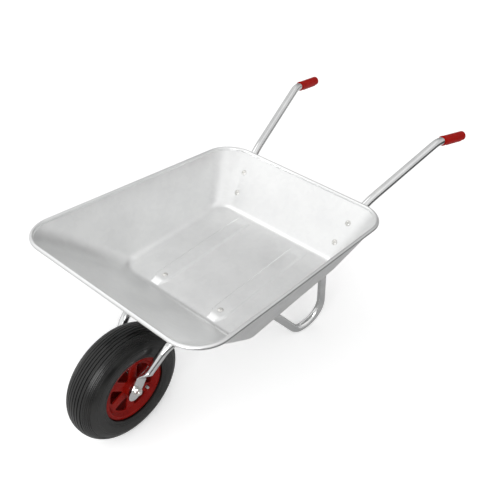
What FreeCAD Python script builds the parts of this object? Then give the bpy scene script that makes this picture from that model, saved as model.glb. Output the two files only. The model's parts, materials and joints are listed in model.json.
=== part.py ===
import FreeCAD, Part
import math
import os
import Sketcher
from FreeCAD import Placement, Rotation, Vector

# Wheelbarrow with a pressed galvanised tray on two bent tubes and one pneumatic wheel.
# Frame: +X towards the wheel, +Y to the left of the person who pushes, +Z up.
# The origin is on the ground under the middle of the barrow.  Millimetres and degrees.

DIMENSIONS = {
    # wheel
    "axle_x": 540.0,
    "wheel_radius": 172.0,
    "tyre_half_width": 54.0,
    "tyre_shoulder_radius": 166.0,
    "tyre_shoulder_width": 30.0,
    "tyre_side_radius": 124.0,
    "tyre_crown_curve": 78.0,
    "tyre_side_curve": 46.0,
    "tyre_heel_curve": 40.0,
    "tyre_lip_width": 46.0,
    "groove_depth": 2.5,
    "groove_width": 3.0,
    "groove_pitch": 9.0,
    "groove_count": 7.0,
    "bead_seat_radius": 91.0,
    "bead_toe_width": 28.0,
    "bead_heel_width": 40.0,
    "flange_radius": 98.0,
    "flange_width": 44.0,
    "well_radius": 84.0,
    "well_half_width": 20.0,
    "barrel_wall": 4.0,
    "cavity_height": 33.0,
    "cavity_half_width": 44.0,
    "cavity_radius": 127.0,
    "tube_gap": 0.4,
    "tube_wall": 1.5,
    # spokes, windows and hub of the rim
    "spoke_count": 6.0,
    "spoke_width": 27.0,
    "spoke_face": 35.0,
    "spoke_plate": 5.0,
    "window_outer": 74.0,
    "window_corner": 4.0,
    "first_window_turn": 15.0,
    "hub_radius": 24.0,
    "hub_foot_radius": 26.5,
    "hub_half_length": 46.0,
    "hub_bore_radius": 14.0,
    "bush_bore_radius": 10.05,
    "bush_length": 22.0,
    "bush_flange_radius": 18.0,
    "bush_flange": 3.0,
    # axle
    "axle_radius": 6.0,
    "axle_half_length": 70.0,
    "sleeve_radius": 10.0,
    "sleeve_half_length": 50.0,
    "axle_washer_radius": 12.0,
    "axle_washer": 2.5,
    "axle_nut_flats": 19.0,
    "axle_nut": 10.0,
    # valve
    "valve_turn": 225.0,
    "valve_radius": 66.0,
    "valve_stem_radius": 3.0,
    "valve_foot_radius": 6.0,
    "valve_tip": 39.0,
    "valve_hole_radius": 6.0,
    "valve_nut": 2.5,
    "valve_nut_radius": 5.7,
    "valve_cap": 10.0,
    "valve_cap_radius": 4.2,
    # tray
    "sheet": 1.2,
    "floor_rear_x": -116.0,
    "floor_rear_z": 271.5,
    "floor_tilt": 2.9,
    "floor_length": 430.5,
    "floor_half_width": 242.5,
    "floor_corner": 55.0,
    "floor_bend": 34.0,
    "rim_rear_x": -251.0,
    "rim_rear_z": 405.0,
    "rim_tilt": 8.66,
    "rim_length": 810.5,
    "rim_rear_half": 312.5,
    "rim_front_half": 330.5,
    "rim_corner": 91.0,
    "roll_radius": 6.0,
    "wall_top_drop": 4.4,
    "wall_top_inset": 3.0,
    "wire_radius": 4.75,
    "rib_side": 112.0,
    "rib_half_width": 28.0,
    "rib_height": 5.0,
    "rib_start": 20.0,
    "rib_shoulder": 384.0,
    "rib_tip": 426.0,
    "rib_nose": 15.0,
    # tubes
    "frame_radius": 12.5,
    "frame_wall": 1.5,
    "grip_end_x": -704.35,
    "grip_end_y": 296.3,
    "grip_end_z": 453.5,
    "handle_x": -568.4,
    "handle_y": 278.5,
    "handle_z": 489.6,
    "handle_bend": 60.0,
    "rim_bend": 240.0,
    "heel_bend": 80.0,
    "leg_rear_bend": 80.0,
    "leg_front_bend": 36.0,
    "floor_tube_bend": 55.0,
    "rib_end_bend": 150.0,
    "dip_bend": 150.0,
    "fork_bend": 60.0,
    "upper_reach": 62.0,
    "lower_reach": 69.4,
    "leg_rear_y": 187.0,
    "leg_front_x": -18.0,
    "leg_front_y": 163.0,
    "floor_reach": 97.0,
    "floor_reach_y": 112.5,
    "rib_end_reach": 8.0,
    "dip_reach": 50.0,
    "dip_depth": 6.0,
    "dip_y": 109.0,
    "fork_x": 435.0,
    "fork_y": 86.0,
    "fork_z": 289.0,
    "flat_start_x": 499.0,
    "flat_start_y": 66.5,
    "flat_start_z": 219.0,
    "tab_angle": 50.0,
    "tab_above": 34.0,
    "tab_below": 33.0,
    "tab_side": 52.0,
    "tab_thickness": 4.0,
    "tab_half_width": 20.0,
    # grips
    "grip_radius": 15.0,
    "grip_length": 122.0,
    "grip_end_wall": 8.0,
    "grip_lip_radius": 15.8,
    "ridge_count": 8.0,
    "ridge_pitch": 11.0,
    "ridge_radius": 6.5,
    "ridge_drop": 11.0,
    # tray bolts
    "bolt_radius": 4.0,
    "bolt_hole_radius": 4.3,
    "bolt_head_radius": 9.0,
    "bolt_head_rise": 0.5,
    "bolt_head": 4.2,
    "bolt_length": 42.0,
    "nut_flats": 13.0,
    "nut_height": 6.5,
    "washer_radius": 8.5,
    "washer": 1.6,
    "upper_bolt_rise": 123.6,
    "upper_bolt_y": 207.0,
    "lower_bolt_rise": 54.8,
    "lower_bolt_y": 196.5,
    "floor_bolt_reach": 376.0,
    "floor_bolt_y": 110.0,
}


class Size:
    """A number that also carries the spreadsheet expression it was worked out with."""

    def __init__(self, value, text):
        self.value = value
        self.text = text

    def __add__(self, other):
        other = as_size(other)
        return Size(self.value + other.value, f"({self.text} + {other.text})")

    def __sub__(self, other):
        other = as_size(other)
        return Size(self.value - other.value, f"({self.text} - {other.text})")

    def __mul__(self, other):
        other = as_size(other)
        return Size(self.value * other.value, f"({self.text} * {other.text})")

    def __truediv__(self, other):
        other = as_size(other)
        return Size(self.value / other.value, f"({self.text} / {other.text})")

    def __neg__(self):
        return self * -1.0


def as_size(number):
    """A Size of a plain number; a Size is returned as it is."""
    if isinstance(number, Size):
        return number
    return Size(float(number), f"{float(number)}")


class Sheet:
    """Reads the aliases of the dimension sheet as attributes, each one a Size."""

    def __init__(self, cells):
        self.cells = cells

    def __getattr__(self, alias):
        return Size(float(self.cells.get(alias)), f"dims.{alias}")


def make_sheet(doc):
    """Put every driving dimension in a cell with an alias."""
    cells = doc.addObject("Spreadsheet::Sheet", "dims")
    for row, (alias, value) in enumerate(DIMENSIONS.items(), start=1):
        cells.set(f"A{row}", alias)
        cells.set(f"B{row}", str(value))
        cells.setAlias(f"B{row}", alias)
    doc.recompute()
    return Sheet(cells)


def bind(thing, prop, size):
    """Set a property to a size and keep it bound to the sheet."""
    size = as_size(size)
    thing.setExpression(prop, size.text)


# ---------------------------------------------------------------- sketches


def new_body(doc, name):
    body = doc.addObject("PartDesign::Body", name)
    body.Label = name
    return body


def origin_plane(body, role):
    for feature in body.Origin.OriginFeatures:
        if feature.Role == role:
            return feature
    raise ValueError(role)


def new_sketch(body, name, role, offset=None):
    sketch = body.newObject("Sketcher::SketchObject", name)
    sketch.AttachmentSupport = [(origin_plane(body, role), "")]
    sketch.MapMode = "FlatFace"
    if offset is not None:
        sketch.AttachmentOffset = offset
    return sketch


def lock(sketch, kind, geometry, point, size, name):
    """Add one named dimension and bind it to the sheet."""
    size = as_size(size)
    sketch.addConstraint(Sketcher.Constraint(kind, geometry, point, size.value))
    sketch.renameConstraint(sketch.ConstraintCount - 1, name)
    bind(sketch, f"Constraints.{name}", size)


def outline(sketch, corners, arcs=None):
    """Closed outline through the corners; arcs maps an edge number to (radius, side).

    The arc of an edge bulges to the left of the edge for side +1, to the right for -1.
    """
    arcs = arcs or {}
    points = [Vector(x.value, y.value, 0) for x, y in corners]
    count = len(points)
    first = sketch.GeometryCount
    for index, start in enumerate(points):
        end = points[(index + 1) % count]
        if index in arcs:
            radius, side = arcs[index]
            sketch.addGeometry(shallow_arc(start, end, radius.value, side))
        else:
            sketch.addGeometry(Part.LineSegment(start, end))
    ends = [arc_ends(arcs, index) for index in range(count)]
    for index in range(count):
        after = (index + 1) % count
        joint = (first + index, ends[index][1], first + after, ends[after][0])
        sketch.addConstraint(Sketcher.Constraint("Coincident", *joint))
    for index, (x, y) in enumerate(corners):
        lock(sketch, "DistanceX", first + index, ends[index][0], x, f"x{first + index}")
        lock(sketch, "DistanceY", first + index, ends[index][0], y, f"y{first + index}")
    for index, (radius, side) in arcs.items():
        sketch.addConstraint(Sketcher.Constraint("Radius", first + index, radius.value))
        name = f"r{first + index}"
        sketch.renameConstraint(sketch.ConstraintCount - 1, name)
        bind(sketch, f"Constraints.{name}", radius)


def arc_ends(arcs, index):
    """Numbers of the start and end points of an edge; an arc always runs anticlockwise."""
    if index in arcs and arcs[index][1] > 0:
        return 2, 1
    return 1, 2


def shallow_arc(start, end, radius, side):
    """Arc of less than half a turn from start to end, as an anticlockwise circle arc."""
    chord = end - start
    middle = (start + end) * 0.5
    left = Vector(-chord.y, chord.x, 0).normalize()
    depth = math.sqrt(radius ** 2 - (chord.Length / 2) ** 2)
    centre = middle - left * (side * depth)
    first, last = (end, start) if side > 0 else (start, end)
    angle_first = math.atan2(first.y - centre.y, first.x - centre.x)
    angle_last = math.atan2(last.y - centre.y, last.x - centre.x)
    circle = Part.Circle(centre, Vector(0, 0, 1), radius)
    return Part.ArcOfCircle(circle, angle_first, angle_last)


def circle_at(sketch, x, y, radius):
    """A full circle with its centre and radius bound to the sheet."""
    index = sketch.GeometryCount
    x, y, radius = as_size(x), as_size(y), as_size(radius)
    sketch.addGeometry(Part.Circle(Vector(x.value, y.value, 0), Vector(0, 0, 1), radius.value))
    lock(sketch, "DistanceX", index, 3, x, f"x{index}")
    lock(sketch, "DistanceY", index, 3, y, f"y{index}")
    sketch.addConstraint(Sketcher.Constraint("Radius", index, radius.value))
    sketch.renameConstraint(sketch.ConstraintCount - 1, f"r{index}")
    bind(sketch, f"Constraints.r{index}", radius)


def rounded_quad(sketch, rear, front, rear_half, front_half, corner):
    """Symmetrical four-sided outline with round corners, from x = rear to x = front.

    The half widths are those of the sharp corners.  Edges 0 to 7 are the front line, the
    front left arc, the left line, and so on round to the front right arc.
    """
    sharp = [
        Vector(front.value, -front_half.value, 0),
        Vector(front.value, front_half.value, 0),
        Vector(rear.value, rear_half.value, 0),
        Vector(rear.value, -rear_half.value, 0),
    ]
    cuts = [corner_arc(sharp[i - 1], sharp[i], sharp[(i + 1) % 4], corner.value) for i in range(4)]
    for index in range(4):
        after = (index + 1) % 4
        sketch.addGeometry(Part.LineSegment(cuts[index][2], cuts[after][0]))
        sketch.addGeometry(Part.Arc(*cuts[after]))
    for index in range(8):
        after = (index + 1) % 8
        sketch.addConstraint(Sketcher.Constraint("Tangent", index, 2, after, 1))
    x_axis = -1
    sketch.addConstraint(Sketcher.Constraint("Symmetric", 0, 1, 0, 2, x_axis))
    sketch.addConstraint(Sketcher.Constraint("Symmetric", 4, 1, 4, 2, x_axis))
    for arc in (3, 5, 7):
        sketch.addConstraint(Sketcher.Constraint("Equal", 1, arc))
    sketch.addConstraint(Sketcher.Constraint("Radius", 1, corner.value))
    sketch.renameConstraint(sketch.ConstraintCount - 1, "corner")
    bind(sketch, "Constraints.corner", corner)
    lock(sketch, "DistanceX", 0, 1, front, "front")
    lock(sketch, "DistanceX", 4, 1, rear, "rear")
    for name, line, size in (("front_half", 0, front_half), ("rear_half", 4, rear_half)):
        sharp_corner = sketch.GeometryCount
        x = front.value if line == 0 else rear.value
        sketch.addGeometry(Part.Point(Vector(x, size.value, 0)), True)
        sketch.addConstraint(Sketcher.Constraint("PointOnObject", sharp_corner, 1, line))
        sketch.addConstraint(Sketcher.Constraint("PointOnObject", sharp_corner, 1, 2))
        lock(sketch, "DistanceY", sharp_corner, 1, size, name)


def corner_arc(before, corner, after, radius):
    """Start, middle and end point of the arc that rounds a corner."""
    back = (before - corner).normalize()
    ahead = (after - corner).normalize()
    half_angle = back.getAngle(ahead) / 2
    reach = radius / math.tan(half_angle)
    inward = (back + ahead).normalize()
    middle = corner + inward * (radius / math.sin(half_angle) - radius)
    return corner + back * reach, middle, corner + ahead * reach


# ---------------------------------------------------------------- tray


def tilted(x, z, tilt, lift=0.0):
    """Placement of a plane that rises towards the front by tilt degrees."""
    turn = Rotation(Vector(0, 1, 0), -tilt)
    return Placement(Vector(x, 0, z) + turn.multVec(Vector(0, 0, lift)), turn)


def floor_sketch(body, name, dims, lift, grow):
    """Outline of the tray floor, moved up by lift and outwards by grow."""
    place = tilted(dims.floor_rear_x.value, dims.floor_rear_z.value, dims.floor_tilt.value, lift)
    sketch = new_sketch(body, name, "XY_Plane", place)
    half = dims.floor_half_width + grow
    rounded_quad(sketch, -as_size(grow), dims.floor_length + grow, half, half, dims.floor_corner + grow)
    return sketch


def rim_sketch(body, name, dims, lift, shrink):
    """Outline parallel to the rim's centreline, moved up by lift and inwards by shrink."""
    place = tilted(dims.rim_rear_x.value, dims.rim_rear_z.value, dims.rim_tilt.value, lift)
    sketch = new_sketch(body, name, "XY_Plane", place)
    rear, front = as_size(shrink), dims.rim_length - shrink
    rear_half, front_half = dims.rim_rear_half - shrink, dims.rim_front_half - shrink
    rounded_quad(sketch, rear, front, rear_half, front_half, dims.rim_corner - shrink)
    return sketch


def loft(body, kind, name, lower, upper):
    """Loft from the upper outline down to the lower one; fillets fail the other way round."""
    feature = body.newObject(kind, name)
    feature.Profile = upper
    feature.Sections = [(lower, [""])]
    feature.Ruled = True
    return feature


def pipe(body, kind, name, profile, spine):
    feature = body.newObject(kind, name)
    feature.Profile = profile
    feature.Spine = (spine, [f"Edge{number}" for number in range(1, 9)])
    return feature


def roll_profile(body, name, dims, radius):
    """Circle at the middle of the rim's front edge, upright in the XZ plane."""
    sketch = new_sketch(body, name, "XZ_Plane")
    tilt = math.radians(dims.rim_tilt.value)
    x = dims.rim_rear_x + dims.rim_length * math.cos(tilt)
    z = dims.rim_rear_z + dims.rim_length * math.sin(tilt)
    circle_at(sketch, x, z, radius)
    return sketch


def edges_in_plane(shape, point, normal):
    """Names of the edges of a shape that lie in a plane."""
    names = []
    for number, edge in enumerate(shape.Edges, start=1):
        if all(abs((sample - point).dot(normal)) < 0.01 for sample in edge.discretize(5)):
            names.append(f"Edge{number}")
    return names


def bend_floor(body, name, form, point, normal, radius):
    """Round the edges between the tray's floor and its walls."""
    feature = body.newObject("PartDesign::Fillet", name)
    feature.Base = (form, edges_in_plane(form.Shape, point, normal))
    bind(feature, "Radius", radius)
    return feature


def rib_sketch(body, name, dims, side, lift, shrink):
    """Outline of one floor rib, whose front end narrows and runs into the floor bend."""
    place = tilted(dims.floor_rear_x.value, dims.floor_rear_z.value, dims.floor_tilt.value, lift)
    sketch = new_sketch(body, name, "XY_Plane", place)
    middle = dims.rib_side * side
    half = dims.rib_half_width - shrink
    nose = dims.rib_nose - shrink
    shoulder = dims.rib_shoulder - shrink * 0.5
    corners = [
        (dims.rib_start + shrink, middle - half),
        (shoulder, middle - half),
        (dims.rib_tip - shrink, middle - nose),
        (dims.rib_tip - shrink, middle + nose),
        (shoulder, middle + half),
        (dims.rib_start + shrink, middle + half),
    ]
    outline(sketch, corners)
    return sketch


def pad(body, name, profile, length, taper=0.0):
    feature = body.newObject("PartDesign::Pad", name)
    feature.Profile = profile
    bind(feature, "Length", length)
    feature.TaperAngle = taper
    return feature


def cut_through(body, name, profile):
    """Cut a sketch through everything, both ways."""
    feature = body.newObject("PartDesign::Pocket", name)
    feature.Profile = profile
    feature.Type = "ThroughAll"
    feature.Midplane = True
    return feature


def wall_frame(dims):
    """Placement on the inner face of the tray's rear wall: X up the wall, Z out of the tray."""
    foot = Vector(dims.floor_rear_x.value, 0, dims.floor_rear_z.value)
    rim = tilted(dims.rim_rear_x.value, dims.rim_rear_z.value, dims.rim_tilt.value)
    top = rim.multVec(Vector(dims.wall_top_inset.value + 0.6, 0, -dims.wall_top_drop.value))
    up_wall = (top - foot).normalize()
    across = Vector(0, 1, 0)
    return Placement(foot, Rotation(up_wall, across, up_wall.cross(across)))


def floor_frame(dims):
    """Placement on the inner face of the tray's floor: X forwards, Z into the tray."""
    return tilted(dims.floor_rear_x.value, dims.floor_rear_z.value, dims.floor_tilt.value)


def bolt_places(dims):
    """Placements of the six tray bolts: origin under the head, Z along the shank."""
    wall, floor = wall_frame(dims), floor_frame(dims)
    over = Rotation(Vector(1, 0, 0), 180)
    places = []
    for side in (1, -1):
        for rise, across in (
            (dims.upper_bolt_rise, dims.upper_bolt_y),
            (dims.lower_bolt_rise, dims.lower_bolt_y),
        ):
            local = Placement(Vector(rise.value, side * across.value, 0), wall_shank(wall))
            places.append(wall * local)
        on_rib = Vector(dims.floor_bolt_reach.value, side * dims.floor_bolt_y.value, dims.rib_height.value)
        places.append(floor * Placement(on_rib, over))
    return places


def wall_shank(wall):
    """Turn that points a bolt's shank out of the tray, backwards and down."""
    outwards = wall.Rotation.multVec(Vector(0, 0, 1))
    return Rotation() if outwards.x < 0 else Rotation(Vector(1, 0, 0), 180)


def bolt_holes(body, name, dims, role_place, spots):
    sketch = new_sketch(body, name, "XY_Plane", role_place)
    for along, across in spots:
        for side in (1.0, -1.0):
            circle_at(sketch, along, across * side, dims.bolt_hole_radius)
    return sketch


def make_tray(doc, dims):
    """Pressed tray: flat floor with two ribs, four leaning walls and a rolled rim."""
    body = new_body(doc, "tray")
    floor = floor_frame(dims)
    normal = floor.Rotation.multVec(Vector(0, 0, 1))
    thickness = dims.sheet

    top = -dims.wall_top_drop.value
    lower = floor_sketch(body, "outer_floor", dims, -thickness.value, 0.6)
    upper = rim_sketch(body, "outer_top", dims, top, dims.wall_top_inset - 0.6)
    loft(body, "PartDesign::AdditiveLoft", "outer_form", lower, upper)
    lower = floor_sketch(body, "inner_floor", dims, 0.0, 0.0)
    upper = rim_sketch(body, "inner_top", dims, top, dims.wall_top_inset + 0.6)
    form = loft(body, "PartDesign::SubtractiveLoft", "inner_form", lower, upper)
    doc.recompute()
    form = bend_floor(body, "inner_bend", form, floor.Base, normal, dims.floor_bend)
    doc.recompute()
    under = floor.Base - normal * thickness.value
    bend_floor(body, "outer_bend", form, under, normal, dims.floor_bend + thickness)
    doc.recompute()

    for side, word in ((1.0, "left"), (-1.0, "right")):
        rib = rib_sketch(body, f"rib_{word}", dims, side, 0.0, as_size(0.0))
        pad(body, f"rib_pad_{word}", rib, dims.rib_height, -40.0)
        groove = rib_sketch(body, f"groove_{word}", dims, side, -thickness.value, thickness)
        feature = body.newObject("PartDesign::Pocket", f"rib_groove_{word}")
        feature.Profile = groove
        bind(feature, "Length", dims.rib_height)
        feature.Reversed = True
        feature.TaperAngle = -40.0
        doc.recompute()

    spine = rim_sketch(body, "roll_line", dims, 0.0, 0.0)
    solid = roll_profile(body, "roll_outside", dims, dims.roll_radius)
    pipe(body, "PartDesign::AdditivePipe", "roll", solid, spine)
    doc.recompute()
    hollow = roll_profile(body, "roll_inside", dims, dims.roll_radius - thickness)
    pipe(body, "PartDesign::SubtractivePipe", "roll_hollow", hollow, spine)
    doc.recompute()

    wall_spots = [(dims.upper_bolt_rise, dims.upper_bolt_y), (dims.lower_bolt_rise, dims.lower_bolt_y)]
    cut_through(body, "wall_bolt_holes", bolt_holes(body, "wall_holes", dims, wall_frame(dims), wall_spots))
    floor_spots = [(dims.floor_bolt_reach, dims.floor_bolt_y)]
    cut_through(body, "floor_bolt_holes", bolt_holes(body, "floor_holes", dims, floor, floor_spots))
    doc.recompute()
    return body


# ---------------------------------------------------------------- tubes


def tube_corners(dims):
    """Corner points of the left tube's centreline with the bend radius at each one."""
    wall, floor = wall_frame(dims), floor_frame(dims)
    outwards = wall.Rotation.multVec(Vector(0, 0, 1))
    if outwards.x > 0:
        outwards = -outwards
    normal = floor.Rotation.multVec(Vector(0, 0, 1))
    ahead = floor.Rotation.multVec(Vector(1, 0, 0))
    stand_off = dims.sheet.value + dims.frame_radius.value
    upper = wall.multVec(Vector(dims.upper_bolt_rise.value, dims.upper_bolt_y.value, 0))
    lower = wall.multVec(Vector(dims.lower_bolt_rise.value, dims.lower_bolt_y.value, 0))
    upper = upper + outwards * stand_off
    lower = lower + outwards * stand_off
    down_wall = (lower - upper).normalize()
    on_rib = Vector(dims.floor_bolt_reach.value, dims.floor_bolt_y.value, dims.rib_height.value)
    at_floor = floor.multVec(on_rib) - normal * stand_off
    heel = lower + down_wall * dims.lower_reach.value
    floor_end = at_floor - ahead * dims.floor_reach.value
    floor_end.y = dims.floor_reach_y.value
    dip = at_floor + ahead * dims.dip_reach.value - normal * dims.dip_depth.value
    dip.y = dims.dip_y.value
    ground = dims.frame_radius.value
    return [
        (point(dims, "grip_end"), 0.0),
        (point(dims, "handle"), dims.handle_bend.value),
        (upper - down_wall * dims.upper_reach.value, dims.rim_bend.value),
        (heel, dims.heel_bend.value),
        (Vector(heel.x, dims.leg_rear_y.value, ground), dims.leg_rear_bend.value),
        (Vector(dims.leg_front_x.value, dims.leg_front_y.value, ground), dims.leg_front_bend.value),
        (floor_end, dims.floor_tube_bend.value),
        (at_floor + ahead * dims.rib_end_reach.value, dims.rib_end_bend.value),
        (dip, dims.dip_bend.value),
        (point(dims, "fork"), dims.fork_bend.value),
        (point(dims, "flat_start"), 0.0),
    ]


def point(dims, name):
    """The point whose three coordinates are in the sheet as name_x, name_y and name_z."""
    return Vector(*(getattr(dims, f"{name}_{axis}").value for axis in "xyz"))


def bent_line(corners):
    """Wire of straight runs joined by tangent arcs of the given radii."""
    edges = []
    at = corners[0][0]
    for index in range(1, len(corners) - 1):
        corner, radius = corners[index]
        start, middle, end = corner_arc(corners[index - 1][0], corner, corners[index + 1][0], radius)
        edges.append(Part.LineSegment(at, start).toShape())
        edges.append(Part.Arc(start, middle, end).toShape())
        at = end
    edges.append(Part.LineSegment(at, corners[-1][0]).toShape())
    return Part.Wire(edges)


def bent_tube(wire, radius, wall):
    """Hollow tube along a wire of lines and arcs, one solid for each run, joined up."""
    runs = []
    for edge in wire.Edges:
        start = edge.valueAt(edge.FirstParameter)
        along = edge.tangentAt(edge.FirstParameter)
        disc, hole = (
            Part.Face(Part.Wire([Part.Circle(start, along, size).toShape()]))
            for size in (radius, radius - wall)
        )
        ring = disc.cut(hole).Faces[0]
        if edge.Curve.TypeId == "Part::GeomLine":
            runs.append(ring.extrude(along * edge.Length))
        else:
            turn = math.degrees(edge.Length / edge.Curve.Radius)
            axis = (start - edge.Curve.Center).cross(along)
            runs.append(ring.revolve(edge.Curve.Center, axis, turn))
    return runs[0].fuse(runs[1:])


def flattened_section(centre, along, half_width, half_thickness, squareness):
    """Closed curve across the tube's end: a circle, or a flat oblong as squareness grows."""
    side = Vector(0, 1, 0)
    side = (side - along * along.dot(side)).normalize()
    across = along.cross(side).normalize()
    points = []
    for step in range(24):
        angle = 2 * math.pi * step / 24
        wide = math.copysign(abs(math.cos(angle)) ** (2 / squareness), math.cos(angle))
        thick = math.copysign(abs(math.sin(angle)) ** (2 / squareness), math.sin(angle))
        points.append(centre + across * (half_width * wide) + side * (half_thickness * thick))
    curve = Part.BSplineCurve()
    curve.interpolate(Points=points, PeriodicFlag=True)
    return Part.Wire([curve.toShape()])


def flattened_end(dims, start, direction):
    """The round end pressed flat into the tab that the axle goes through."""
    angle = math.radians(dims.tab_angle.value)
    down = Vector(math.cos(angle), 0, -math.sin(angle))
    axle = Vector(dims.axle_x.value, dims.tab_side.value, dims.wheel_radius.value)
    top = axle - down * dims.tab_above.value
    half, width = dims.tab_thickness.value / 2, dims.tab_half_width.value
    radius = dims.frame_radius.value + 0.05
    start = start - direction * 3
    sections = []
    for share in (0.0, 0.25, 0.5, 0.75, 1.0):
        ease = share * share * (3 - 2 * share)
        centre = start + (top - start) * share
        centre.y = start.y + (top.y - start.y) * ease
        along = (direction * (1 - share) + down * share).normalize()
        wide = radius + (width - radius) * ease
        thin = radius + (half - radius) * ease
        sections.append(flattened_section(centre, along, wide, thin, 2 + 4 * ease))
    neck = Part.makeLoft(sections, True, False)

    across = Vector(0, 1, 0)
    reach = dims.tab_above.value + dims.tab_below.value - width
    plate = Part.makeBox(reach, 2 * width, 2 * half)
    turn = Rotation(down, down.cross(across) * -1, across)
    plate.Placement = Placement(top, turn) * Placement(Vector(0, -width, -half), Rotation())
    foot = top + down * reach - across * half
    disc = Part.makeCylinder(width, 2 * half, foot, across)
    hole = Part.makeCylinder(dims.axle_radius.value + 0.2, 20, axle - across * 10, across)
    return neck.fuse([plate, disc]).removeSplitter().cut(hole)


def bolt_hole_cutters(dims):
    """Cylinders along the shanks of the three left tray bolts."""
    cutters = []
    for place in bolt_places(dims)[:3]:
        cutter = Part.makeCylinder(dims.bolt_hole_radius.value, dims.bolt_length.value)
        cutter.Placement = place
        cutters.append(cutter)
    return cutters


def make_tubes(doc, dims):
    """The left tube from its centreline, and the right one as its mirror image."""
    corners = tube_corners(dims)
    end = corners[-1][0]
    last = (end - corners[-2][0]).normalize()
    tube = bent_tube(bent_line(corners), dims.frame_radius.value, dims.frame_wall.value)
    tube = tube.fuse(flattened_end(dims, end, last)).removeSplitter()
    left = doc.addObject("Part::Feature", "tube_left")
    left.Shape = tube.cut(bolt_hole_cutters(dims))
    left.Label = "tube_left"
    left.Placement = Placement()
    return [left, mirrored(doc, left, "tube_right")]


def mirrored(doc, source, name):
    """Mirror image of a left-hand piece on the right-hand side."""
    mirror = doc.addObject("Part::Mirroring", name)
    mirror.Label = name
    mirror.Source = source
    mirror.Base = Vector(0, 0, 0)
    mirror.Normal = Vector(0, 1, 0)
    return mirror


def make_rim_wire(doc, dims):
    """Steel wire that the tray's edge is rolled around."""
    body = new_body(doc, "rim_wire")
    spine = rim_sketch(body, "wire_line", dims, 0.0, as_size(0.0))
    section = roll_profile(body, "wire_section", dims, dims.wire_radius)
    pipe(body, "PartDesign::AdditivePipe", "wire", section, spine)
    return body


# ---------------------------------------------------------------- fasteners


def revolve(body, name, profile, axis="V_Axis"):
    feature = body.newObject("PartDesign::Revolution", name)
    feature.Profile = profile
    feature.ReferenceAxis = (profile, [axis])
    feature.Angle = 360.0
    return feature


def copies(doc, name, source, places):
    """One node that holds a separate solid of the source shape at each placement."""
    node = doc.addObject("Part::Feature", name)
    node.Label = name
    solids = []
    for place in places:
        solid = source.copy()
        solid.Placement = place
        solids.append(solid)
    node.Shape = Part.makeCompound(solids)
    return node


def hexagon(sketch, flats):
    """Regular hexagon around the origin; flats is the size across the flats."""
    half = flats / 2.0
    half_side = flats / (2.0 * math.sqrt(3.0))
    side = flats / math.sqrt(3.0)
    zero = as_size(0.0)
    corners = [
        (half, -half_side),
        (half, half_side),
        (zero, side),
        (-half, half_side),
        (-half, -half_side),
        (zero, -side),
    ]
    outline(sketch, corners)


def nut_body(doc, name, flats, height, bore):
    """Chamfered hexagon nut that stands on the XY plane."""
    body = new_body(doc, name)
    profile = new_sketch(body, f"{name}_hexagon", "XY_Plane")
    hexagon(profile, flats)
    pad(body, f"{name}_block", profile, height)
    hole = new_sketch(body, f"{name}_hole", "XY_Plane")
    circle_at(hole, 0.0, 0.0, bore)
    cut_through(body, f"{name}_bore", hole)
    doc.recompute()
    bevel = new_sketch(body, f"{name}_bevel", "XZ_Plane")
    rim, bottom, top = flats * 0.49, as_size(0.0), height
    far = flats * 0.62
    for level, step in ((bottom, 1.0), (top, -1.0)):
        drop = (far - rim) * (0.55 * step)
        outline(bevel, [(rim, level), (far, level), (far, level + drop)])
    groove = body.newObject("PartDesign::Groove", f"{name}_corners")
    groove.Profile = bevel
    groove.ReferenceAxis = (bevel, ["V_Axis"])
    groove.Angle = 360.0
    doc.recompute()
    return body


def ring_body(doc, name, outer, inner, height):
    """Flat washer that stands on the XY plane."""
    body = new_body(doc, name)
    profile = new_sketch(body, f"{name}_outline", "XY_Plane")
    circle_at(profile, 0.0, 0.0, outer)
    circle_at(profile, 0.0, 0.0, inner)
    pad(body, f"{name}_plate", profile, height)
    doc.recompute()
    return body


def make_bolts(doc, dims):
    """Tray bolts with their washers and nuts, one node for each kind."""
    places = bolt_places(dims)
    pattern = new_body(doc, "bolt_pattern")
    profile = new_sketch(pattern, "bolt_profile", "XZ_Plane")
    zero = as_size(0.0)
    length = dims.bolt_length
    shank, head = dims.bolt_radius, dims.bolt_head_radius
    rise = dims.bolt_head_rise
    corners = [
        (zero, length),
        (zero, -dims.bolt_head),
        (head, -rise),
        (shank + 1.5, zero),
        (shank, zero),
        (shank, length),
    ]
    outline(profile, corners, {1: (cap_radius(head, dims.bolt_head - rise), -1)})
    revolve(pattern, "bolt_turned", profile)
    washer = ring_body(doc, "washer_pattern", dims.washer_radius, dims.bolt_hole_radius, dims.washer)
    nut = nut_body(doc, "nut_pattern", dims.nut_flats, dims.nut_height, dims.bolt_radius)
    doc.recompute()
    stack = dims.sheet.value + 2 * dims.frame_radius.value
    under = Placement(Vector(0, 0, stack), Rotation())
    lower = Placement(Vector(0, 0, stack + dims.washer.value), Rotation())
    return [
        copies(doc, "tray_bolts", pattern.Shape, places),
        copies(doc, "tray_washers", washer.Shape, [place * under for place in places]),
        copies(doc, "tray_nuts", nut.Shape, [place * lower for place in places]),
    ]


def wheel_place(dims, side=1, away=0.0):
    """Placement on the axle whose Z axis points to one side, away from the middle."""
    centre = Vector(dims.axle_x.value, side * away, dims.wheel_radius.value)
    return Placement(centre, Rotation(Vector(1, 0, 0), -90 * side))


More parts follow.
